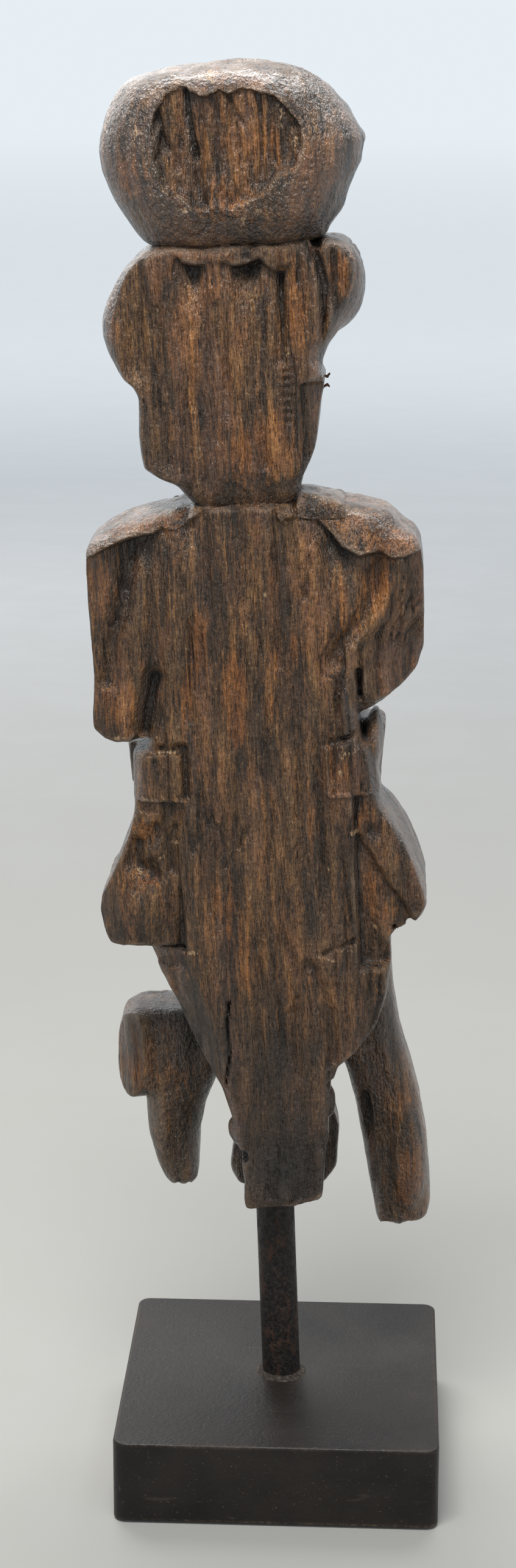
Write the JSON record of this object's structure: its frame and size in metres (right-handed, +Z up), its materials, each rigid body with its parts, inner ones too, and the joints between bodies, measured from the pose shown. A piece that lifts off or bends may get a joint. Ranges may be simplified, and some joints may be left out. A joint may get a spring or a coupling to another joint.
{
  "type": "carved ancestor figure on a rod mount",
  "caption": "Weathered carved hardwood standing figure with a cushion-shaped headdress, held by a round steel rod on a square black wooden base.",
  "frame": {"origin": "middle of the underside of the felt under the square base, where the object stands", "axes": "+Z up along the object's height; the figure faces -Y, with its flat weathered back to +Y and its left hand side to +X"},
  "size_m": [0.1079, 0.1, 0.4372],
  "materials": {
    "figure_wood": "old dark hardwood, open grain, worn to a low wax sheen",
    "dowel_wood": "plain turned hardwood dowel, unfinished",
    "nail_iron": "rusted dark iron",
    "adhesive": "set two-part epoxy, dull amber",
    "rod_iron": "rough black-brown oxidised steel bar",
    "filler": "grainy dark wood filler",
    "base_black": "wood painted satin black, rubbed thin at the edges",
    "plated_steel": "zinc-plated steel",
    "felt": "black adhesive-backed felt"
  },
  "bodies": {
    "root": {"headdress_block": "figure_wood", "head_block": "figure_wood", "torso_block": "figure_wood", "collar_slip": "figure_wood", "headdress_dowel": "dowel_wood", "neck_dowel": "dowel_wood", "nail_stubs": "nail_iron", "adhesive_sleeve": "adhesive", "mount_rod": "rod_iron", "filler_ring": "filler", "base_block": "base_black", "base_washer": "plated_steel", "base_screw": "plated_steel", "base_felt": "felt"}
  },
  "joints": []
}
